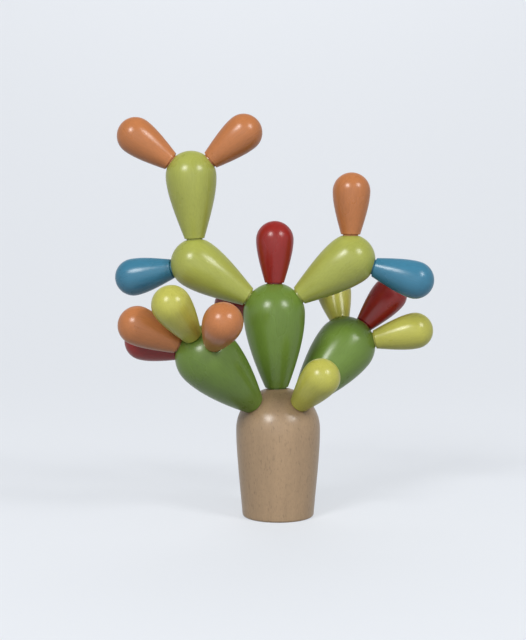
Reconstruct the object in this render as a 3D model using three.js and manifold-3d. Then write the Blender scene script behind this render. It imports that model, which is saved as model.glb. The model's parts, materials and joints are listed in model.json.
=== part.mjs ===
// A wooden cactus toy: a turned pot that carries pads, arms and buds. Every turned piece but the pot has
// a round dowel peg glued in its foot, and the peg plugs into a socket drilled in the head of the piece
// that carries it. Millimetres, +Z up, front towards -Y, origin at the middle of the pot's flat bottom.

import * as THREE from 'three';
import { mergeVertices } from 'three/addons/utils/BufferGeometryUtils.js';
import Module from 'manifold-3d';

const wasm = await Module();
wasm.setup();

// Pot: height to the top of its dome, radius of the dome, radius of the flat bottom
const potHeight = 77.2;
const potHeadRadius = 25;
const potFootRadius = 21.3;
const potFootRounding = 1.5;

// Pads, the trunk among them
const padLength = 62.6;
const padHeadRadius = 18.3;
const padFootRadius = 7;

// Arms
const armLength = 52.2;
const armHeadRadius = 15;
const armFootRadius = 6;

// Buds
const budLength = 36.9;
const budHeadRadius = 11.1;
const budFootRadius = 5.8;

// Rounding of the edge round the foot of every pad, arm and bud
const footRounding = 0.5;

// Dowel pegs: the length glued into the foot and the length that stands out of it
const pegRadius = 2.5;
const pegGluedLength = 9;
const pegReach = 7.4;
const pegChamfer = 0.6;

// Clearances: round the peg and past its ends, and under a foot that rests on its seat
const pegClearance = 0.3;
const seatGap = 0.3;

// Radius of the holes for pegs, in feet and in domes
const socketRadius = pegRadius + pegClearance;

// Side of a turned piece: its slope at the foot against that of a straight cone from foot to head
const potFullness = 1.15;
const padFullness = 1.6;
const armFullness = 1.35;
const budFullness = 1.4;

// Shares of the side's height over which it keeps the foot's slope and the head's upright run
const footRun = 0.34;
const headRun = 0.28;

// Facets round a turned piece, along its side and up its dome
const potFacets = 36;
const padFacets = 28;
const armFacets = 24;
const budFacets = 20;
const pegFacets = 10;
const socketFacets = 14;
const roundingSteps = 1;
const sideSteps = 5;
const domeSteps = 6;

// Corners closer than this are one corner
const weldTolerance = 1e-4;

// Colours of the bare wood and the paints
const bareWood = 0xa28a6f;
const darkGreen = 0x7f9148;
const lightGreen = 0xacb05e;
const red = 0x973f3c;
const orange = 0xb8794f;
const yellow = 0xb3af5a;
const blue = 0x477d96;
const gloss = 0.25;
const satin = 0.5;

const pot = {
  length: potHeight,
  headRadius: potHeadRadius,
  footRadius: potFootRadius,
  rounding: potFootRounding,
  fullness: potFullness,
  facets: potFacets,
};

const pad = {
  length: padLength,
  headRadius: padHeadRadius,
  footRadius: padFootRadius,
  rounding: footRounding,
  fullness: padFullness,
  facets: padFacets,
  pegged: true,
};

const arm = {
  length: armLength,
  headRadius: armHeadRadius,
  footRadius: armFootRadius,
  rounding: footRounding,
  fullness: armFullness,
  facets: armFacets,
  pegged: true,
};

const bud = {
  length: budLength,
  headRadius: budHeadRadius,
  footRadius: budFootRadius,
  rounding: footRounding,
  fullness: budFullness,
  facets: budFacets,
  pegged: true,
};

// Each piece with what it carries. A seat is cut flat across the carrier's dome and its socket is drilled
// towards the middle of the dome: tilt is the socket's angle from the carrier's own axis and azimuth turns
// that tilt about the axis, from +X towards +Y, in degrees.
const toy = {
  name: 'pot', shape: pot, colour: bareWood, roughness: satin, carries: [
    { name: 'trunk', shape: pad, colour: darkGreen, tilt: -2, azimuth: 0, carries: [
      { name: 'crown_bud', shape: bud, colour: red, tilt: 2.5, azimuth: 0 },
      { name: 'trunk_rear_bud', shape: bud, colour: red, tilt: 85, azimuth: 126 },
      { name: 'left_arm', shape: arm, colour: lightGreen, tilt: 55.5, azimuth: 177, carries: [
        { name: 'left_arm_side_bud', shape: bud, colour: blue, tilt: 46, azimuth: -16 },
        { name: 'upper_arm', shape: arm, colour: lightGreen, tilt: 54.5, azimuth: 180, carries: [
          { name: 'upper_left_bud', shape: bud, colour: orange, tilt: 51, azimuth: -177 },
          { name: 'upper_right_bud', shape: bud, colour: orange, tilt: 53.5, azimuth: 3 },
        ] },
      ] },
      { name: 'right_arm', shape: arm, colour: lightGreen, tilt: 56.5, azimuth: 0, carries: [
        { name: 'right_arm_top_bud', shape: bud, colour: orange, tilt: 53.5, azimuth: 180 },
        { name: 'right_arm_side_bud', shape: bud, colour: blue, tilt: 53, azimuth: -7 },
      ] },
    ] },
    { name: 'left_pad', shape: pad, colour: darkGreen, tilt: 48, azimuth: -143, carries: [
      { name: 'left_pad_top_bud', shape: bud, colour: yellow, tilt: 12, azimuth: 111 },
      { name: 'left_pad_side_bud', shape: bud, colour: orange, tilt: 28, azimuth: -61 },
      { name: 'left_pad_back_bud', shape: bud, colour: red, tilt: 65, azimuth: -80 },
      { name: 'left_pad_front_bud', shape: bud, colour: orange, tilt: 55, azimuth: 102 },
    ] },
    { name: 'right_pad', shape: pad, colour: darkGreen, tilt: 47, azimuth: 34, carries: [
      { name: 'right_pad_side_bud', shape: bud, colour: yellow, tilt: 43, azimuth: -56 },
      { name: 'right_pad_back_bud', shape: bud, colour: red, tilt: 7, azimuth: -110 },
      { name: 'right_pad_top_bud', shape: bud, colour: yellow, tilt: 46, azimuth: 128 },
    ] },
    { name: 'pot_front_bud', shape: bud, colour: yellow, tilt: 48, azimuth: -50 },
  ],
};

// Height of the middle of the dome above the foot
function domeCentre(shape) {
  return shape.length - shape.headRadius;
}

// Distance from the middle of the carrier's dome to a seat as wide as the flat of the plugged piece's foot
function seatDistance(carrier, plugged) {
  const seatRadius = plugged.footRadius - plugged.rounding;
  return Math.sqrt(carrier.headRadius ** 2 - seatRadius ** 2);
}

// A profile of radius and height points turned about +Z
function turned(profile, facets) {
  const geometry = new THREE.LatheGeometry(profile, facets);
  geometry.rotateX(Math.PI / 2);
  return welded(geometry);
}

// The same surface with shared corners, without the triangles that shrink to nothing on the axis
function welded(geometry) {
  geometry.deleteAttribute('normal');
  geometry.deleteAttribute('uv');
  const merged = mergeVertices(geometry, weldTolerance);
  const corners = merged.getIndex().array;
  const kept = [];
  for (let i = 0; i < corners.length; i += 3) {
    const [a, b, c] = corners.slice(i, i + 3);
    if (a !== b && b !== c && c !== a) {
      kept.push(a, b, c);
    }
  }
  merged.setIndex(kept);
  return merged;
}

// Outline of a turned piece from the axis at its foot to the top of its dome
function turnedProfile(shape) {
  const { headRadius, footRadius, rounding, fullness } = shape;
  const centre = domeCentre(shape);
  const sideHeight = centre - rounding;
  const footHandle = footRun * sideHeight;
  const spread = fullness * footRun * (headRadius - footRadius);
  const edge = new THREE.EllipseCurve(
    footRadius - rounding, rounding, rounding, rounding, -Math.PI / 2, 0);
  const side = new THREE.CubicBezierCurve(
    new THREE.Vector2(footRadius, rounding),
    new THREE.Vector2(footRadius + spread, rounding + footHandle),
    new THREE.Vector2(headRadius, centre - headRun * sideHeight),
    new THREE.Vector2(headRadius, centre));
  const dome = new THREE.EllipseCurve(0, centre, headRadius, headRadius, 0, Math.PI / 2);
  const domeTop = new THREE.Vector2(0, shape.length);
  return [
    ...footCentre(shape),
    ...edge.getPoints(roundingSteps),
    ...side.getPoints(sideSteps).slice(1),
    ...dome.getPoints(domeSteps).slice(1, -1),
    domeTop,
  ];
}

// Start of the outline on the axis: a flat bottom, or the blind hole that holds the glued end of a peg
function footCentre(shape) {
  if (!shape.pegged) {
    return [new THREE.Vector2(0, 0)];
  }
  const holeDepth = pegGluedLength + pegClearance;
  return [
    new THREE.Vector2(0, holeDepth),
    new THREE.Vector2(socketRadius, holeDepth),
    new THREE.Vector2(socketRadius, 0),
  ];
}

// Dowel with chamfered ends, from the end in the socket up to the glued end
function pegGeometry() {
  return turned([
    new THREE.Vector2(0, -pegReach),
    new THREE.Vector2(pegRadius - pegChamfer, -pegReach),
    new THREE.Vector2(pegRadius, pegChamfer - pegReach),
    new THREE.Vector2(pegRadius, pegGluedLength - pegChamfer),
    new THREE.Vector2(pegRadius - pegChamfer, pegGluedLength),
    new THREE.Vector2(0, pegGluedLength),
  ], pegFacets);
}

// Cut in the carrier's dome for a plugged piece: the flat seat for its foot and the blind bore for its peg
function socketCutter(carrier, plugged) {
  const seat = seatDistance(carrier, plugged);
  const boreEnd = seat + seatGap - pegReach - pegClearance;
  const outside = carrier.headRadius + seatGap;
  return turned([
    new THREE.Vector2(0, boreEnd),
    new THREE.Vector2(socketRadius, boreEnd),
    new THREE.Vector2(socketRadius, seat),
    new THREE.Vector2(plugged.footRadius, seat),
    new THREE.Vector2(plugged.footRadius, outside),
    new THREE.Vector2(0, outside),
  ], socketFacets);
}

// Frame of a socket in its carrier: at the middle of the dome, with +Z out along the bore
function socketFrame(carrier, socket) {
  const frame = new THREE.Group();
  const tilt = THREE.MathUtils.degToRad(socket.tilt);
  const azimuth = THREE.MathUtils.degToRad(socket.azimuth);
  frame.position.z = domeCentre(carrier);
  frame.rotation.set(0, tilt, azimuth, 'ZYX');
  frame.updateMatrix();
  return frame;
}

function toSolid(geometry) {
  const vertProperties = new Float32Array(geometry.getAttribute('position').array);
  const triVerts = new Uint32Array(geometry.getIndex().array);
  return new wasm.Manifold(new wasm.Mesh({ numProp: 3, vertProperties, triVerts }));
}

function fromSolid(solid) {
  const { vertProperties, triVerts } = solid.getMesh();
  const geometry = new THREE.BufferGeometry();
  geometry.setAttribute('position', new THREE.BufferAttribute(vertProperties, 3));
  geometry.setIndex(new THREE.BufferAttribute(triVerts, 1));
  return geometry;
}

// A turned piece with a seat and a socket for each piece that it carries
function pieceGeometry(piece) {
  const blank = turned(turnedProfile(piece.shape), piece.shape.facets);
  const carried = piece.carries ?? [];
  if (carried.length === 0) {
    return blank;
  }
  let solid = toSolid(blank);
  for (const child of carried) {
    const cutter = socketCutter(piece.shape, child.shape);
    cutter.applyMatrix4(socketFrame(piece.shape, child).matrix);
    solid = solid.subtract(toSolid(cutter));
  }
  return fromSolid(solid);
}

function namedMesh(name, geometry, colour, roughness) {
  geometry.computeVertexNormals();
  const material = new THREE.MeshStandardMaterial({ color: colour, roughness, metalness: 0 });
  const mesh = new THREE.Mesh(geometry, material);
  mesh.name = name;
  return mesh;
}

// A piece with its peg, standing on its foot, and everything plugged into it
function assembled(piece) {
  const { name, shape, colour, roughness = gloss, carries = [] } = piece;
  const group = new THREE.Group();
  group.add(namedMesh(name, pieceGeometry(piece), colour, roughness));
  if (shape.pegged) {
    group.add(namedMesh(`${name}_peg`, pegGeometry(), colour, roughness));
  }
  for (const child of carries) {
    const socket = socketFrame(shape, child);
    const plugged = assembled(child);
    plugged.position.z = seatDistance(shape, child.shape) + seatGap;
    socket.add(plugged);
    group.add(socket);
  }
  return group;
}

const cactus = assembled(toy);

export default cactus;
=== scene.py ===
"""Looks of a wooden cactus toy: finely turned meshes for its solids, paint, bare wood, light and camera.

Metres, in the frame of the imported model: +Z up, the front of the toy towards -Y.
"""

import json
import math
from dataclasses import dataclass

import bmesh
import bpy
from mathutils import Matrix, Vector

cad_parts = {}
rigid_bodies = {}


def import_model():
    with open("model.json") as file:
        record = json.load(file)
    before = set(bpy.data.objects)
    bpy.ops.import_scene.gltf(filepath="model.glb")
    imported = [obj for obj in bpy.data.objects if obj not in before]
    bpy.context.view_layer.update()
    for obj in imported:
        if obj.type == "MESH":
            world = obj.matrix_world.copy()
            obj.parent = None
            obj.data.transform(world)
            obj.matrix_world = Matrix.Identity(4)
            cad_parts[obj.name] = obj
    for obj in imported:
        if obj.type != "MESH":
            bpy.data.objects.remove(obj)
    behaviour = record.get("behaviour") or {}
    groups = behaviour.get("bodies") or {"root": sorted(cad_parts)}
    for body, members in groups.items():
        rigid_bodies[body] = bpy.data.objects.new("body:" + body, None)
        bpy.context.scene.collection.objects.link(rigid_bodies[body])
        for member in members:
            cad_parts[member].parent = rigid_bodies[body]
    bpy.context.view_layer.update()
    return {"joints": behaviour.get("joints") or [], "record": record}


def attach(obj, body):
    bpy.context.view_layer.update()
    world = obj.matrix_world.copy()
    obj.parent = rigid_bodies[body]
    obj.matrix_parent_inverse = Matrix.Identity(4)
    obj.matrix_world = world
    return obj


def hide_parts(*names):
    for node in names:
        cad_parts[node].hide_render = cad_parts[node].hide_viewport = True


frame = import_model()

# Dowel pegs: the length glued into a foot and the length that stands out of it
PEG_RADIUS = 0.0025
PEG_GLUED_LENGTH = 0.009
PEG_REACH = 0.0074
PEG_CHAMFER = 0.0006
PEG_SEGMENTS = 32

# Clearances: round the peg and past its ends, and under a foot that rests on its seat
PEG_CLEARANCE = 0.0003
SEAT_GAP = 0.0003

# Feet reach this far into that gap, so that they look pressed onto their seats
FOOT_DROP = 0.00026

# A shallow relief round each foot leaves a dark line at the joint
RELIEF_HEIGHT = 0.0005
RELIEF_DEPTH = 0.0012

# Radius of the holes for pegs, in feet and in domes
SOCKET_RADIUS = PEG_RADIUS + PEG_CLEARANCE

# A socket's mouth is broken by a small chamfer, and the cut for its seat runs on past the dome
SOCKET_CHAMFER = 0.0003
SOCKET_OVERSHOOT = 0.002
SOCKET_SEGMENTS = 40

# Points closer than this after a cut are one point
WELD_DISTANCE = 0.00001

# Shares of a side's height over which it keeps the foot's slope and the head's upright run
FOOT_RUN = 0.34
HEAD_RUN = 0.28

# Steps of the fine outline: round the foot's edge, up the side and over the dome
EDGE_STEPS = 5
SIDE_STEPS = 18
DOME_STEPS = 16

# Edges that turn by more than this are crisp
CRISP_ANGLE = math.radians(32)

# Each piece is turned from a blank of its own, this far from the last one in the grain's space
BLANK_OFFSET = Vector((0.31, 0.17, 0.23))


@dataclass(frozen=True)
class Shape:
    """A turned piece: a foot with a rounded edge, a swelling side and a half ball for its head.

    Fullness is the slope at which the side leaves the foot, as a multiple of a straight taper's.
    """

    length: float
    head_radius: float
    foot_radius: float
    rounding: float
    fullness: float
    segments: int
    pegged: bool = True

    @property
    def dome_centre(self):
        return self.length - self.head_radius


# Length, radius of the head and of the foot, rounding of the foot's edge, fullness and segments
POT = Shape(0.0772, 0.025, 0.0213, 0.0015, 1.15, 88, pegged=False)
PAD = Shape(0.0626, 0.0183, 0.007, 0.0005, 1.6, 72)
ARM = Shape(0.0522, 0.015, 0.006, 0.0005, 1.35, 64)
BUD = Shape(0.0369, 0.0111, 0.0058, 0.0005, 1.4, 56)

SHAPE_BY_LAST_WORD = {"pot": POT, "trunk": PAD, "pad": PAD, "arm": ARM, "bud": BUD}

# Paints and the bare wood, by the record's material slots
WOOD_SLOT = "bare_wood"
COLOURS = {
    WOOD_SLOT: 0xAB8F6F,
    "dark_green": 0x6A8536,
    "light_green": 0xA6AB50,
    "red": 0x94241E,
    "orange": 0xBD7746,
    "yellow": 0xBCB954,
    "blue": 0x3C7B97,
}
WHITE = (1.0, 1.0, 1.0)


@dataclass(frozen=True)
class Pattern:
    """Noise along the grain: the size of its patches, and its tones from a low level to a high one."""

    across: float
    along: float
    low: float
    high: float
    dark: float
    light: float
    detail: float = 3.0
    roughness: float = 0.5


# Paint: clouds in its colour, and the wood's fibres that show faintly through it
PAINT_CLOUDS = Pattern(0.014, 0.03, low=0.3, high=0.7, dark=0.93, light=1.06)
PAINT_FIBRES = Pattern(0.0006, 0.009, low=0.3, high=0.6, dark=0.9, light=1.0)
PAINT_ROUGHNESS = (0.25, 0.31)
PAINT_BUMP = 0.12

# Bare beech: soft bands, mottling, fine fibres and short dark flecks
WOOD_BANDS = Pattern(0.007, 0.06, low=0.32, high=0.68, dark=0.96, light=1.06)
WOOD_MOTTLING = Pattern(0.0016, 0.0026, low=0.35, high=0.65, dark=0.92, light=1.0, detail=4.0, roughness=0.6)
WOOD_FIBRES = Pattern(0.0005, 0.006, low=0.3, high=0.65, dark=0.95, light=1.0)
WOOD_FLECKS = Pattern(0.0008, 0.0028, low=0.28, high=0.4, dark=0.78, light=1.0, detail=1.0)
WOOD_ROUGHNESS = (0.26, 0.32)
WOOD_BUMP = 0.15

# Depth of the bumps at full strength
BUMP_DEPTH = 0.0002

# Levels of gloss: face on, and at grazing angles
PAINT_GLOSS = 0.52
WOOD_GLOSS = 0.6
GRAZING_GLOSS = 0.05

# A mix node's colour sockets share their names with its other sockets, so they go by number
MIX_COLOUR_INPUTS = (6, 7)
MIX_COLOUR_OUTPUT = 2

# Stage: a round floor that sweeps up all round, its colour as seen and as a source of bounced light
FLOOR_RADIUS = 0.7
SWEEP_RADIUS = 3.0
SWEEP_STEPS = 32
STAGE_SEGMENTS = 96
FLOOR_COLOUR = 0x9C9EA1
FLOOR_BOUNCE_COLOUR = 0x8E9196
GLOW_COLOUR = 0xEEF2F8
GLOW_STRENGTH = 0.56


@dataclass(frozen=True)
class Softbox:
    """A square lamp aimed at the toy.

    Angles are in degrees, the level is a share of plain white, and the half angle is as seen from the toy.
    """

    name: str
    azimuth: float
    elevation: float
    distance: float
    level: float
    half_angle: float
    reflected: bool


SOFTBOXES = (
    Softbox("left_softbox", -31, 36, 3.0, 0.52, 8, reflected=True),
    Softbox("right_softbox", 47, 36, 3.0, 0.41, 8, reflected=True),
    Softbox("front_fill", 2, 18, 1.5, 0.24, 18, reflected=False),
    Softbox("rear_fill", 180, 36, 3.0, 0.36, 22, reflected=False),
)
WORLD_COLOUR = (0.92, 0.96, 1.0)
WORLD_STRENGTH = 0.3

# Camera: it looks along +Y from a few degrees above the toy's middle, lens and sensor in millimetres
CAMERA_TARGET = Vector((-0.009, 0.0, 0.1171))
CAMERA_DISTANCE = 0.76
CAMERA_ELEVATION = 4
CAMERA_LENS = 72.2
CAMERA_SENSOR = 36.0

# From the frame: joints by name, the slot of each node, and the pieces that plug into others
joints = {joint["name"]: joint for joint in frame["joints"]}
slots = {subpart["node"]: subpart["material_slot"] for subpart in frame["record"]["subparts"]}
plugged_names = [name.removesuffix("_turn") for name in joints if name.endswith("_turn")]


def quarter_turn(steps):
    """The angles at the steps of a quarter turn, all but the last."""
    return [math.pi / 2 * step / steps for step in range(steps)]


def bezier_point(handles, t):
    """The point at a share t of the curve that four handles draw."""
    a, b, c, d = handles
    s = 1 - t
    return a * s**3 + b * (3 * s**2 * t) + c * (3 * s * t**2) + d * t**3


def foot_outline(shape):
    """Start of the outline on the axis: a flat bottom, or a peg's hole and the relief round the foot."""
    if not shape.pegged:
        return [(0.0, 0.0)]
    hole_depth = PEG_GLUED_LENGTH + PEG_CLEARANCE
    neck_radius = shape.foot_radius - RELIEF_DEPTH
    return [
        (0.0, hole_depth),
        (SOCKET_RADIUS, hole_depth),
        (SOCKET_RADIUS, -FOOT_DROP),
        (neck_radius, -FOOT_DROP),
        (neck_radius, RELIEF_HEIGHT),
    ]


def turned_outline(shape):
    """Radius and height points of a turned piece, from the axis at its foot to the top of its dome."""
    centre = shape.dome_centre
    edge_bottom = RELIEF_HEIGHT if shape.pegged else 0.0
    edge_inset = shape.foot_radius - shape.rounding
    side_start = edge_bottom + shape.rounding
    side_height = centre - side_start
    spread = shape.fullness * FOOT_RUN * (shape.head_radius - shape.foot_radius)
    handles = (
        Vector((shape.foot_radius, side_start)),
        Vector((shape.foot_radius + spread, side_start + FOOT_RUN * side_height)),
        Vector((shape.head_radius, centre - HEAD_RUN * side_height)),
        Vector((shape.head_radius, centre)),
    )
    outline = foot_outline(shape)
    for angle in quarter_turn(EDGE_STEPS):
        radius = edge_inset + shape.rounding * math.sin(angle)
        outline.append((radius, side_start - shape.rounding * math.cos(angle)))
    for step in range(SIDE_STEPS):
        outline.append(tuple(bezier_point(handles, step / SIDE_STEPS)))
    for angle in quarter_turn(DOME_STEPS):
        radius = shape.head_radius * math.cos(angle)
        outline.append((radius, centre + shape.head_radius * math.sin(angle)))
    outline.append((0.0, shape.length))
    return outline


def peg_outline():
    """A dowel with chamfered ends, from the end in the socket up to the glued end."""
    return [
        (0.0, -PEG_REACH),
        (PEG_RADIUS - PEG_CHAMFER, -PEG_REACH),
        (PEG_RADIUS, PEG_CHAMFER - PEG_REACH),
        (PEG_RADIUS, PEG_GLUED_LENGTH - PEG_CHAMFER),
        (PEG_RADIUS - PEG_CHAMFER, PEG_GLUED_LENGTH),
        (0.0, PEG_GLUED_LENGTH),
    ]


def socket_outline(foot_radius):
    """A flat seat and a blind bore with a chamfered mouth, measured from the foot plugged in there."""
    bore_end = -PEG_REACH - PEG_CLEARANCE
    return [
        (0.0, bore_end),
        (SOCKET_RADIUS, bore_end),
        (SOCKET_RADIUS, -SEAT_GAP - SOCKET_CHAMFER),
        (SOCKET_RADIUS + SOCKET_CHAMFER, -SEAT_GAP),
        (foot_radius, -SEAT_GAP),
        (foot_radius, SOCKET_OVERSHOOT),
        (0.0, SOCKET_OVERSHOOT),
    ]


def backdrop_outline():
    """Radius and height points of the floor and of the quarter round that it sweeps up in."""
    outline = [(0.0, 0.0)]
    for angle in quarter_turn(SWEEP_STEPS):
        radius = FLOOR_RADIUS + SWEEP_RADIUS * math.sin(angle)
        outline.append((radius, SWEEP_RADIUS * (1 - math.cos(angle))))
    outline.append((FLOOR_RADIUS + SWEEP_RADIUS, SWEEP_RADIUS))
    return outline


def turned_mesh(name, outline, segments):
    """A mesh turned about +Z from an outline, with one point where the outline meets the axis."""
    mesh = bpy.data.meshes.new(name)
    turning = bmesh.new()
    rings = []
    for radius, height in outline:
        if radius == 0.0:
            rings.append([turning.verts.new((0.0, 0.0, height))])
            continue
        ring = []
        for i in range(segments):
            angle = 2 * math.pi * i / segments
            ring.append(turning.verts.new((radius * math.cos(angle), radius * math.sin(angle), height)))
        rings.append(ring)
    for lower, upper in zip(rings, rings[1:]):
        for i in range(segments):
            corners = [lower[i % len(lower)], lower[(i + 1) % len(lower)]]
            corners += [upper[(i + 1) % len(upper)], upper[i % len(upper)]]
            turning.faces.new(list(dict.fromkeys(corners)))
    bmesh.ops.recalc_face_normals(turning, faces=turning.faces)
    turning.to_mesh(mesh)
    turning.free()
    return mesh


def linked_object(name, data):
    thing = bpy.data.objects.new(name, data)
    bpy.context.scene.collection.objects.link(thing)
    return thing


def socket_cutter(foot_radius, seat_material, bore_material):
    """A cutter whose seat is painted and whose bore and chamfer are bare."""
    mesh = turned_mesh("socket", socket_outline(foot_radius), SOCKET_SEGMENTS)
    mesh.materials.append(bore_material)
    mesh.materials.append(seat_material)
    # The chamfer's faces have their middle half a chamfer below the seat, so a quarter tells them apart
    lowest_seat = -SEAT_GAP - SOCKET_CHAMFER / 4
    for face in mesh.polygons:
        face.material_index = int(face.center.z > lowest_seat)
    return linked_object("socket_cutter", mesh)


def drill_sockets(piece, sockets, bore_material):
    """Cuts a seat and a bore for each plugged foot, given its radius and its place in the piece."""
    for foot_radius, place in sockets:
        cutter = socket_cutter(foot_radius, piece.data.materials[0], bore_material)
        cutter.matrix_world = place
        cut = piece.modifiers.new("socket", "BOOLEAN")
        cut.object = cutter
        cut.operation = "DIFFERENCE"
        cut.solver = "EXACT"
        cut.material_mode = "TRANSFER"
        bpy.context.view_layer.update()
        evaluated = piece.evaluated_get(bpy.context.evaluated_depsgraph_get())
        drilled = bpy.data.meshes.new_from_object(evaluated)
        piece.modifiers.remove(cut)
        piece.data = drilled
        bpy.data.objects.remove(cutter)
    weld(piece.data)


def weld(mesh):
    """Merges the points and drops the slivers that cuts leave along their edges."""
    welding = bmesh.new()
    welding.from_mesh(mesh)
    bmesh.ops.remove_doubles(welding, verts=welding.verts, dist=WELD_DISTANCE)
    bmesh.ops.dissolve_degenerate(welding, edges=welding.edges, dist=WELD_DISTANCE)
    welding.to_mesh(mesh)
    welding.free()


def finish_piece(piece, place, blank_number, node):
    """Shades a turned mesh, keeps its points' places in their blank, and stands it in the node's place."""
    mesh = piece.data
    mesh.shade_smooth()
    mesh.set_sharp_from_angle(angle=CRISP_ANGLE)
    grain = mesh.attributes.new("grain", "FLOAT_VECTOR", "POINT")
    for vertex, value in zip(mesh.vertices, grain.data):
        value.vector = vertex.co + BLANK_OFFSET * blank_number
    mesh.transform(place)
    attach(piece, node)
    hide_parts(node)


def linear_colour(code):
    """The shader's linear colour of a written sRGB code."""
    channels = [(code >> shift & 0xFF) / 255 for shift in (16, 8, 0)]
    return [c / 12.92 if c <= 0.04045 else ((c + 0.055) / 1.055) ** 2.4 for c in channels]


def opaque(colour, tone=1.0):
    """A colour made darker or lighter, with its alpha."""
    return [*(min(1.0, channel * tone) for channel in colour), 1.0]


class Surface:
    """A material's node tree round one Principled shader, with short calls for the textures."""

    def __init__(self, name):
        self.material = bpy.data.materials.new(name)
        self.material.use_nodes = True
        self.nodes = self.material.node_tree.nodes
        self.links = self.material.node_tree.links
        self.shader = self.nodes["Principled BSDF"]

    def add(self, kind):
        return self.nodes.new(kind)

    def join(self, output, socket):
        self.links.new(output, socket)

    def set_input(self, name, output):
        """Links an output to one of the shader's sockets."""
        self.join(output, self.shader.inputs[name])

    def noise(self, pattern):
        """Noise in the grain's space."""
        place = self.add("ShaderNodeAttribute")
        place.attribute_name = "grain"
        mapping = self.add("ShaderNodeMapping")
        mapping.inputs["Scale"].default_value = (1 / pattern.across, 1 / pattern.across, 1 / pattern.along)
        noise = self.add("ShaderNodeTexNoise")
        noise.inputs["Scale"].default_value = 1.0
        noise.inputs["Detail"].default_value = pattern.detail
        noise.inputs["Roughness"].default_value = pattern.roughness
        self.join(place.outputs["Vector"], mapping.inputs["Vector"])
        self.join(mapping.outputs["Vector"], noise.inputs["Vector"])
        return noise.outputs["Fac"]

    def ramp(self, factor, start, end):
        """A colour between two pairs of place and colour along a factor."""
        ramp = self.add("ShaderNodeValToRGB")
        for element, (place, colour) in zip(ramp.color_ramp.elements, (start, end)):
            element.position = place
            element.color = colour
        self.join(factor, ramp.inputs["Fac"])
        return ramp.outputs["Color"]

    def tones(self, factor, pattern, colour=WHITE):
        """A colour in the tones of a pattern."""
        start = (pattern.low, opaque(colour, pattern.dark))
        end = (pattern.high, opaque(colour, pattern.light))
        return self.ramp(factor, start, end)

    def multiply(self, first, second):
        """One colour darkened by another."""
        mix = self.add("ShaderNodeMix")
        mix.data_type = "RGBA"
        mix.blend_type = "MULTIPLY"
        mix.inputs["Factor"].default_value = 1.0
        for output, socket in zip((first, second), MIX_COLOUR_INPUTS):
            self.join(output, mix.inputs[socket])
        return mix.outputs[MIX_COLOUR_OUTPUT]

    def maximum(self, first, second):
        larger = self.add("ShaderNodeMath")
        larger.operation = "MAXIMUM"
        self.join(first, larger.inputs[0])
        self.join(second, larger.inputs[1])
        return larger.outputs["Value"]

    def span(self, factor, low, high):
        """A factor of 0 to 1 spread over a range of values."""
        span = self.add("ShaderNodeMapRange")
        span.inputs["To Min"].default_value = low
        span.inputs["To Max"].default_value = high
        self.join(factor, span.inputs["Value"])
        return span.outputs["Result"]

    def fading_gloss(self, level):
        """Gloss that fades towards grazing angles, as on a coat that is a little rough."""
        facing = self.add("ShaderNodeLayerWeight").outputs["Facing"]
        self.set_input("Specular IOR Level", self.span(facing, level, GRAZING_GLOSS))

    def bump(self, height, strength):
        bump = self.add("ShaderNodeBump")
        bump.inputs["Strength"].default_value = strength
        bump.inputs["Distance"].default_value = BUMP_DEPTH
        self.join(height, bump.inputs["Height"])
        self.set_input("Normal", bump.outputs["Normal"])


def paint_material(name, code):
    """Gloss paint over turned wood: the colour wanders a little and the grain shows faintly through it."""
    paint = Surface(name)
    clouds = paint.noise(PAINT_CLOUDS)
    fibres = paint.noise(PAINT_FIBRES)
    base = paint.tones(clouds, PAINT_CLOUDS, linear_colour(code))
    paint.set_input("Base Color", paint.multiply(base, paint.tones(fibres, PAINT_FIBRES)))
    paint.set_input("Roughness", paint.span(clouds, *PAINT_ROUGHNESS))
    paint.fading_gloss(PAINT_GLOSS)
    paint.bump(fibres, PAINT_BUMP)
    return paint.material


def wood_material(name, code):
    """Bare turned beech under a satin coat: soft bands, mottling, fine fibres and short dark flecks."""
    wood = Surface(name)
    bands = wood.noise(WOOD_BANDS)
    flecks = wood.noise(WOOD_FLECKS)
    base = wood.tones(bands, WOOD_BANDS, linear_colour(code))
    patches = wood.tones(wood.noise(WOOD_MOTTLING), WOOD_MOTTLING)
    lines = wood.tones(wood.noise(WOOD_FIBRES), WOOD_FIBRES)
    marks = wood.tones(flecks, WOOD_FLECKS)
    toned = wood.multiply(wood.multiply(base, patches), wood.multiply(lines, marks))
    wood.set_input("Base Color", toned)
    wood.set_input("Roughness", wood.span(bands, *WOOD_ROUGHNESS))
    wood.fading_gloss(WOOD_GLOSS)
    wood.bump(flecks, WOOD_BUMP)
    return wood.material


def backdrop_material():
    """Pale and glowing where the camera or a reflection sees it, and darker as a source of bounced light."""
    surface = Surface("backdrop")
    rays = surface.add("ShaderNodeLightPath").outputs
    mirrored = surface.maximum(rays["Is Glossy Ray"], rays["Is Transmission Ray"])
    shown = surface.maximum(rays["Is Camera Ray"], mirrored)
    bounced_colour = (0.0, opaque(linear_colour(FLOOR_BOUNCE_COLOUR)))
    shown_colour = (1.0, opaque(linear_colour(FLOOR_COLOUR)))
    surface.set_input("Base Color", surface.ramp(shown, bounced_colour, shown_colour))
    surface.set_input("Emission Strength", surface.span(shown, 0.0, GLOW_STRENGTH))
    surface.shader.inputs["Emission Color"].default_value = opaque(linear_colour(GLOW_COLOUR))
    surface.shader.inputs["Roughness"].default_value = 1.0
    surface.shader.inputs["Specular IOR Level"].default_value = 0.0
    return surface.material


def shape_of(name):
    return SHAPE_BY_LAST_WORD[name.split("_")[-1]]


def placement(joint):
    """Where a plugged piece stands: its foot's centre at the joint, with +Z along the joint's axis."""
    turn = Vector((0, 0, 1)).rotation_difference(Vector(joint["axis"]))
    return Matrix.Translation(Vector(joint["pos_m"])) @ turn.to_matrix().to_4x4()


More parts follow.
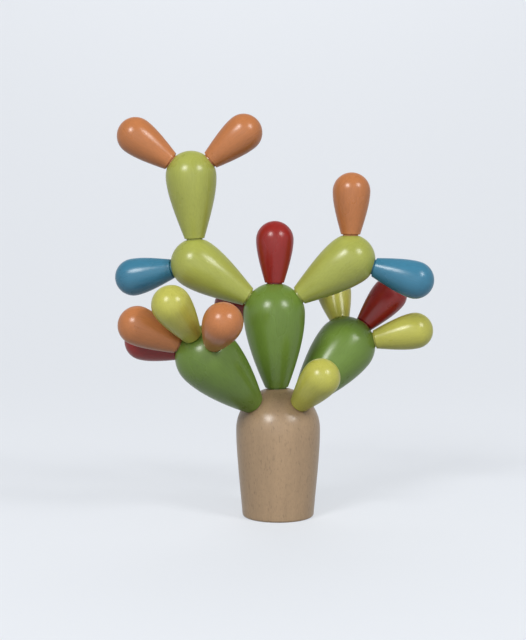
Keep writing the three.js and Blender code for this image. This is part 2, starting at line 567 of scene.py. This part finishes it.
def direction(azimuth, elevation):
    """From the toy's middle, in degrees: azimuth 0 is the camera's side, -Y, and 90 is +X."""
    around = math.radians(azimuth)
    above = math.radians(elevation)
    return Vector((
        math.sin(around) * math.cos(above),
        -math.cos(around) * math.cos(above),
        math.sin(above),
    ))


def aim(thing, toward, distance):
    """Stands a lamp or camera off the toy's middle and points it there."""
    thing.location = CAMERA_TARGET + toward * distance
    thing.rotation_euler = (-toward).to_track_quat("-Z", "Y").to_euler()


# Materials
materials = {}
for slot, code in COLOURS.items():
    make_material = wood_material if slot == WOOD_SLOT else paint_material
    materials[slot] = make_material(slot, code)

# Places of the pieces, and what each of them carries
places = {"pot": Matrix.Identity(4)}
carried = {"pot": []}
for name in plugged_names:
    places[name] = placement(joints[f"{name}_turn"])
    carried[name] = []
for name in plugged_names:
    carried[joints[f"{name}_pull"]["parent"]].append(name)

# Turned pieces with their sockets, and the pegs in their feet
for number, name in enumerate(places):
    shape = shape_of(name)
    piece = linked_object(f"{name}_turned", turned_mesh(name, turned_outline(shape), shape.segments))
    piece.data.materials.append(materials[slots[name]])
    to_local = places[name].inverted()
    sockets = [(shape_of(child).foot_radius, to_local @ places[child]) for child in carried[name]]
    drill_sockets(piece, sockets, materials[WOOD_SLOT])
    finish_piece(piece, places[name], number, name)
    if shape.pegged:
        peg_name = f"{name}_peg"
        peg = linked_object(f"{peg_name}_turned", turned_mesh(peg_name, peg_outline(), PEG_SEGMENTS))
        peg.data.materials.append(materials[slots[peg_name]])
        finish_piece(peg, places[name], number, peg_name)

# Floor and backdrop
backdrop = linked_object("backdrop", turned_mesh("backdrop", backdrop_outline(), STAGE_SEGMENTS))
backdrop.data.shade_smooth()
backdrop.data.materials.append(backdrop_material())

# Lamps: at level 1 a lamp alone renders a white surface that faces it as plain white
for softbox in SOFTBOXES:
    lamp = bpy.data.lights.new(softbox.name, "AREA")
    lamp.shape = "SQUARE"
    lamp.size = 2 * softbox.distance * math.tan(math.radians(softbox.half_angle))
    lamp.energy = softbox.level * (math.pi * softbox.distance) ** 2
    light = linked_object(softbox.name, lamp)
    light.visible_glossy = softbox.reflected
    aim(light, direction(softbox.azimuth, softbox.elevation), softbox.distance)

scene = bpy.context.scene
scene.view_settings.view_transform = "Standard"

# World: a dim, even light from all round
world = bpy.data.worlds.new("studio")
world.use_nodes = True
background = world.node_tree.nodes["Background"]
background.inputs["Color"].default_value = opaque(WORLD_COLOUR)
background.inputs["Strength"].default_value = WORLD_STRENGTH
scene.world = world

camera = linked_object("camera", bpy.data.cameras.new("camera"))
camera.data.lens = CAMERA_LENS
camera.data.sensor_width = CAMERA_SENSOR
aim(camera, direction(0, CAMERA_ELEVATION), CAMERA_DISTANCE)
scene.camera = camera
